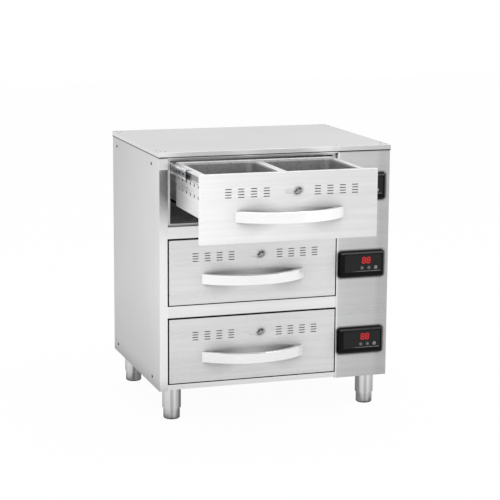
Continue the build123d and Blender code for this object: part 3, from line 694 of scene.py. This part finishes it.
# Marks on the buttons: a ring on set, and an arrow on down and up
mark_grey = grainy("button mark", bluish(0.33), 0.0, 0.45, scale=900.0, spread=0.1)
ring_inner, ring_outer = 0.0029, 0.0054
arrow_size = 0.0034
mark_rise, mark_depth = 0.0002, 0.0004
for bay in bays:
    for kind in ("set", "down", "up"):
        low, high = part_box(f"button_{kind}_{bay}")
        x, z = (low.x + high.x) / 2, (low.z + high.z) / 2
        if kind == "set":
            outlines = ring(x, z, ring_inner, ring_outer)
        else:
            outlines = [arrow(x, z, arrow_size, 1 if kind == "up" else -1)]
        flat_piece(
            f"button_mark_{kind}_{bay}", [(points, low.y - mark_rise) for points in outlines],
            mark_depth, mark_grey, f"{kind}_button_{bay}",
        )

# Nylon stops on the front ends of the middle slide channels, each a web with two arms that
# reach over and under the inner channel
stop_depth, stop_arm = 0.0024, 0.0100
stop_play, stop_inset, stop_softened = 0.0004, 0.0002, 0.0002
for bay in bays:
    middle_low, middle_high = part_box(f"slide_middle_{bay}")
    inner_low, inner_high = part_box(f"slide_inner_{bay}")
    bottom, top = middle_low.z + stop_inset, middle_high.z - stop_inset
    outlines = []
    for web, web_inner, side in (
        (middle_low.x, inner_low.x, 1), (middle_high.x, inner_high.x, -1),
    ):
        outside = web + side * stop_inset
        inside = web_inner - side * stop_play
        far = outside + side * stop_arm
        for x0, x1, z0, z1 in (
            (outside, inside, bottom, top),
            (inside, far, inner_high.z + stop_play, top),
            (inside, far, bottom, inner_low.z - stop_play),
        ):
            points = [(x0, z0), (x1, z0), (x1, z1), (x0, z1)]
            outlines.append((points, middle_low.y - stop_depth))
    flat_piece(
        f"slide_stops_{bay}", outlines, stop_depth, nylon_black, f"middle_slides_{bay}",
        stop_softened,
    )


# Floor, world, lamps and camera

def by_ray(made, plain, mirrored, seen, share):
    """
    A shader that glossy rays meet as mirrored, the camera's and transmitted rays meet as
    seen for its share, and all other rays meet as plain.
    """
    path = node(made, "ShaderNodeLightPath")
    straight = calculated(
        made, "MAXIMUM", path.outputs["Is Camera Ray"], path.outputs["Is Transmission Ray"]
    )
    glossy = node(made, "ShaderNodeMixShader", {
        0: path.outputs["Is Glossy Ray"], 1: plain, 2: mirrored,
    })
    both = node(made, "ShaderNodeMixShader", {
        0: calculated(made, "MULTIPLY", straight, share), 1: glossy.outputs[0], 2: seen,
    })
    return both.outputs[0]


def floor_finish(name, level, share, reflected):
    """
    A pale surface that the camera sees nearly as the white background. Metal and glass see it
    with a painted shadow that fades with its distance from the cabinet, as (metres, brightness)
    in the list reflected.
    """
    made = new_material(name, (level,) * 3, metallic=0.0, roughness=0.9, specular=0.0)
    low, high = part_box("base_panel")
    middle = ((low.x + high.x) / 2, (low.y + high.y) / 2, 0.0)
    half = ((high.x - low.x) / 2, (high.y - low.y) / 2, 0.0)
    place = node(made, "ShaderNodeTexCoord").outputs["Object"]
    offset = vector_step(made, "SUBTRACT", place, middle).outputs[0]
    across = vector_step(made, "ABSOLUTE", offset).outputs[0]
    beyond = vector_step(made, "SUBTRACT", across, half).outputs[0]
    outside = vector_step(made, "MAXIMUM", beyond).outputs[0]
    distance = vector_step(made, "LENGTH", outside).outputs["Value"]
    # Painted shadow round and under the cabinet, as metal and glass see the floor
    mirrored = node(made, "ShaderNodeEmission", {
        "Color": ramped(made, distance, reflected), "Strength": 1.0,
    })
    white = node(made, "ShaderNodeEmission", {"Strength": 1.0})
    surface = by_ray(
        made, main_shader(made).outputs[0], mirrored.outputs[0], white.outputs[0], share
    )
    made.node_tree.links.new(surface, made.node_tree.nodes["Material Output"].inputs["Surface"])
    return made


floor_half = 12.0
floor_drop = 0.0005
# Painted shadow in the floor as metal sees it: dark under the cabinet, white far off
reflected_floor_shadow = [(0.0, 0.28), (0.04, 0.62), (0.30, 0.78), (1.0, 0.90), (1.6, 1.0)]
floor_mesh = bpy.data.meshes.new("floor")
floor_grid = bmesh.new()
bmesh.ops.create_grid(floor_grid, x_segments=8, y_segments=8, size=floor_half)
floor_grid.to_mesh(floor_mesh)
floor_grid.free()
floor = bpy.data.objects.new("floor", floor_mesh)
floor.location = (0.0, 0.0, -floor_drop)
scene.collection.objects.link(floor)
floor_mesh.materials.append(
    floor_finish("pale floor", level=0.92, share=0.96, reflected=reflected_floor_shadow)
)

# The world lights the object softly, and shows white to the camera and nearly so to metal
world = bpy.data.worlds.new("studio")
scene.world = world
world.use_nodes = True
world.node_tree.nodes.clear()
white = (1.0, 1.0, 1.0, 1.0)
sky_tones = ramped(world, along(world, "Z", "Generated"), [(0.0, 0.86), (0.75, 1.0)])
soft, mirror, backdrop = [
    node(world, "ShaderNodeBackground", {"Color": colour, "Strength": strength}).outputs[0]
    for colour, strength in ((white, 0.86), (sky_tones, 1.0), (white, 1.0))
]
node(world, "ShaderNodeOutputWorld", {
    "Surface": by_ray(world, soft, mirror, backdrop, share=1.0),
})


def lamp(name, place, aim, size, power):
    """A soft square lamp at place that shines towards aim."""
    data = bpy.data.lights.new(name, "AREA")
    data.size = size
    data.energy = power
    made = bpy.data.objects.new(name, data)
    made.location = place
    towards = Vector(aim) - Vector(place)
    made.rotation_euler = towards.to_track_quat("-Z", "Y").to_euler()
    scene.collection.objects.link(made)


centre = (0.0, 0.1, 0.5)
upper_right = (0.2, -0.1, 0.6)
lamp("key", (-2.6, -3.4, 3.0), centre, size=4.6, power=30.0)
lamp("fill", (3.2, -2.6, 1.6), centre, size=3.2, power=9.0)
lamp("top", (0.2, 0.4, 3.6), centre, size=3.4, power=20.0)
lamp("edge", (1.1, -0.6, 3.2), upper_right, size=0.8, power=10.0)

camera_place = (-1.8144, -5.2986, 1.6028)
yaw, pitch, roll = 18.373, 10.773, 0.374
camera_data = bpy.data.cameras.new("camera")
camera_data.lens = 122.29
camera_data.sensor_width = 36.0
camera = bpy.data.objects.new("camera", camera_data)
camera.matrix_world = (
    Matrix.Translation(camera_place)
    @ Matrix.Rotation(math.radians(-yaw), 4, "Z")
    @ Matrix.Rotation(math.radians(90.0 - pitch), 4, "X")
    @ Matrix.Rotation(math.radians(roll), 4, "Z")
)
scene.collection.objects.link(camera)
scene.camera = camera
